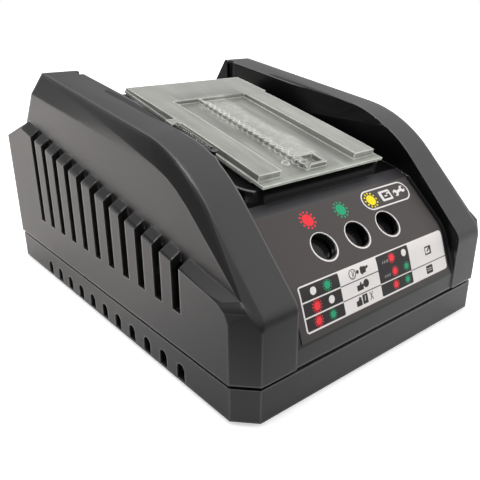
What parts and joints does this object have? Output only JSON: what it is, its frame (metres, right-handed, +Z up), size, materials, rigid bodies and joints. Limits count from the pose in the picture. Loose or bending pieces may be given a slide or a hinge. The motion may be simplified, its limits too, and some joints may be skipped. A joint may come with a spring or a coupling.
{
  "type": "power tool battery charger",
  "caption": "Desktop charger for slide-on tool battery packs: black vented case, sloped dock with a sprung translucent terminal cover, indicator lights and a symbol table.",
  "frame": {"origin": "centre of the footprint on the rest plane under the rubber feet", "axes": "+X to the right seen from the front, +Y to the back, +Z up; the dock slopes up towards the back"},
  "size_m": [0.135, 0.19, 0.0975],
  "materials": {
    "case_black": "fine moulded texture",
    "label_film": "satin printed film",
    "lens_smoke": "smoked",
    "board_green": "solder mask",
    "led_white": "diffuse",
    "screw_steel": "zinc plated",
    "cover_clear": "translucent",
    "inner_black": "moulded",
    "spring_steel": "bright",
    "contact_brass": "bright",
    "ferrite": "matt",
    "winding_tape": "taped",
    "capacitor_blue": "sleeved",
    "capacitor_black": "sleeved",
    "choke_copper": "enamelled",
    "fuse_glass": "clear",
    "sink_aluminium": "extruded",
    "chip_black": "moulded",
    "terminal_green": "moulded",
    "lead_red": "insulated",
    "ribbon_grey": "insulated",
    "fan_black": "moulded",
    "gland_rubber": "matt",
    "foot_rubber": "matt"
  },
  "bodies": {
    "base": {"base_shell": "case_black", "top_shell": "case_black", "indicator_label": "label_film", "led_lenses": "lens_smoke", "led_board": "board_green", "indicator_leds": "led_white", "led_board_screws": "screw_steel", "guide_rails": "inner_black", "cover_spring": "spring_steel", "terminal_block": "inner_black", "positive_blade": "contact_brass", "negative_blade": "contact_brass", "signal_contacts": "contact_brass", "terminal_screws": "screw_steel", "main_board": "board_green", "board_screws": "screw_steel", "transformer_core": "ferrite", "transformer_winding": "winding_tape", "filter_capacitor": "capacitor_blue", "output_capacitors": "capacitor_black", "input_choke": "choke_copper", "input_fuse": "fuse_glass", "primary_heatsink": "sink_aluminium", "secondary_heatsink": "sink_aluminium", "power_transistors": "chip_black", "control_chip": "chip_black", "buzzer": "chip_black", "mains_terminal": "terminal_green", "output_leads": "lead_red", "led_lead": "ribbon_grey", "fan_frame": "fan_black", "fan_bearing": "contact_brass", "fan_lead": "lead_red", "cord_gland": "gland_rubber", "cord_clamp": "inner_black", "clamp_screws": "screw_steel", "rubber_feet": "foot_rubber", "case_screws": "screw_steel"},
    "cover": {"terminal_cover": "cover_clear"},
    "rotor": {"fan_rotor": "fan_black"}
  },
  "joints": [
    {"name": "cover_slide", "type": "slide", "parent": "base", "child": "cover", "axis": [0, 0.9701, 0.2425], "range_m": [0, 0.036], "stiffness_N_per_m": 80, "springref_m": -0.02, "deforming": ["cover_spring"]},
    {"name": "fan_spin", "type": "hinge", "parent": "base", "child": "rotor", "pos_m": [-0.052, 0.025, 0.0457], "axis": [1, 0, 0], "continuous": true}
  ]
}
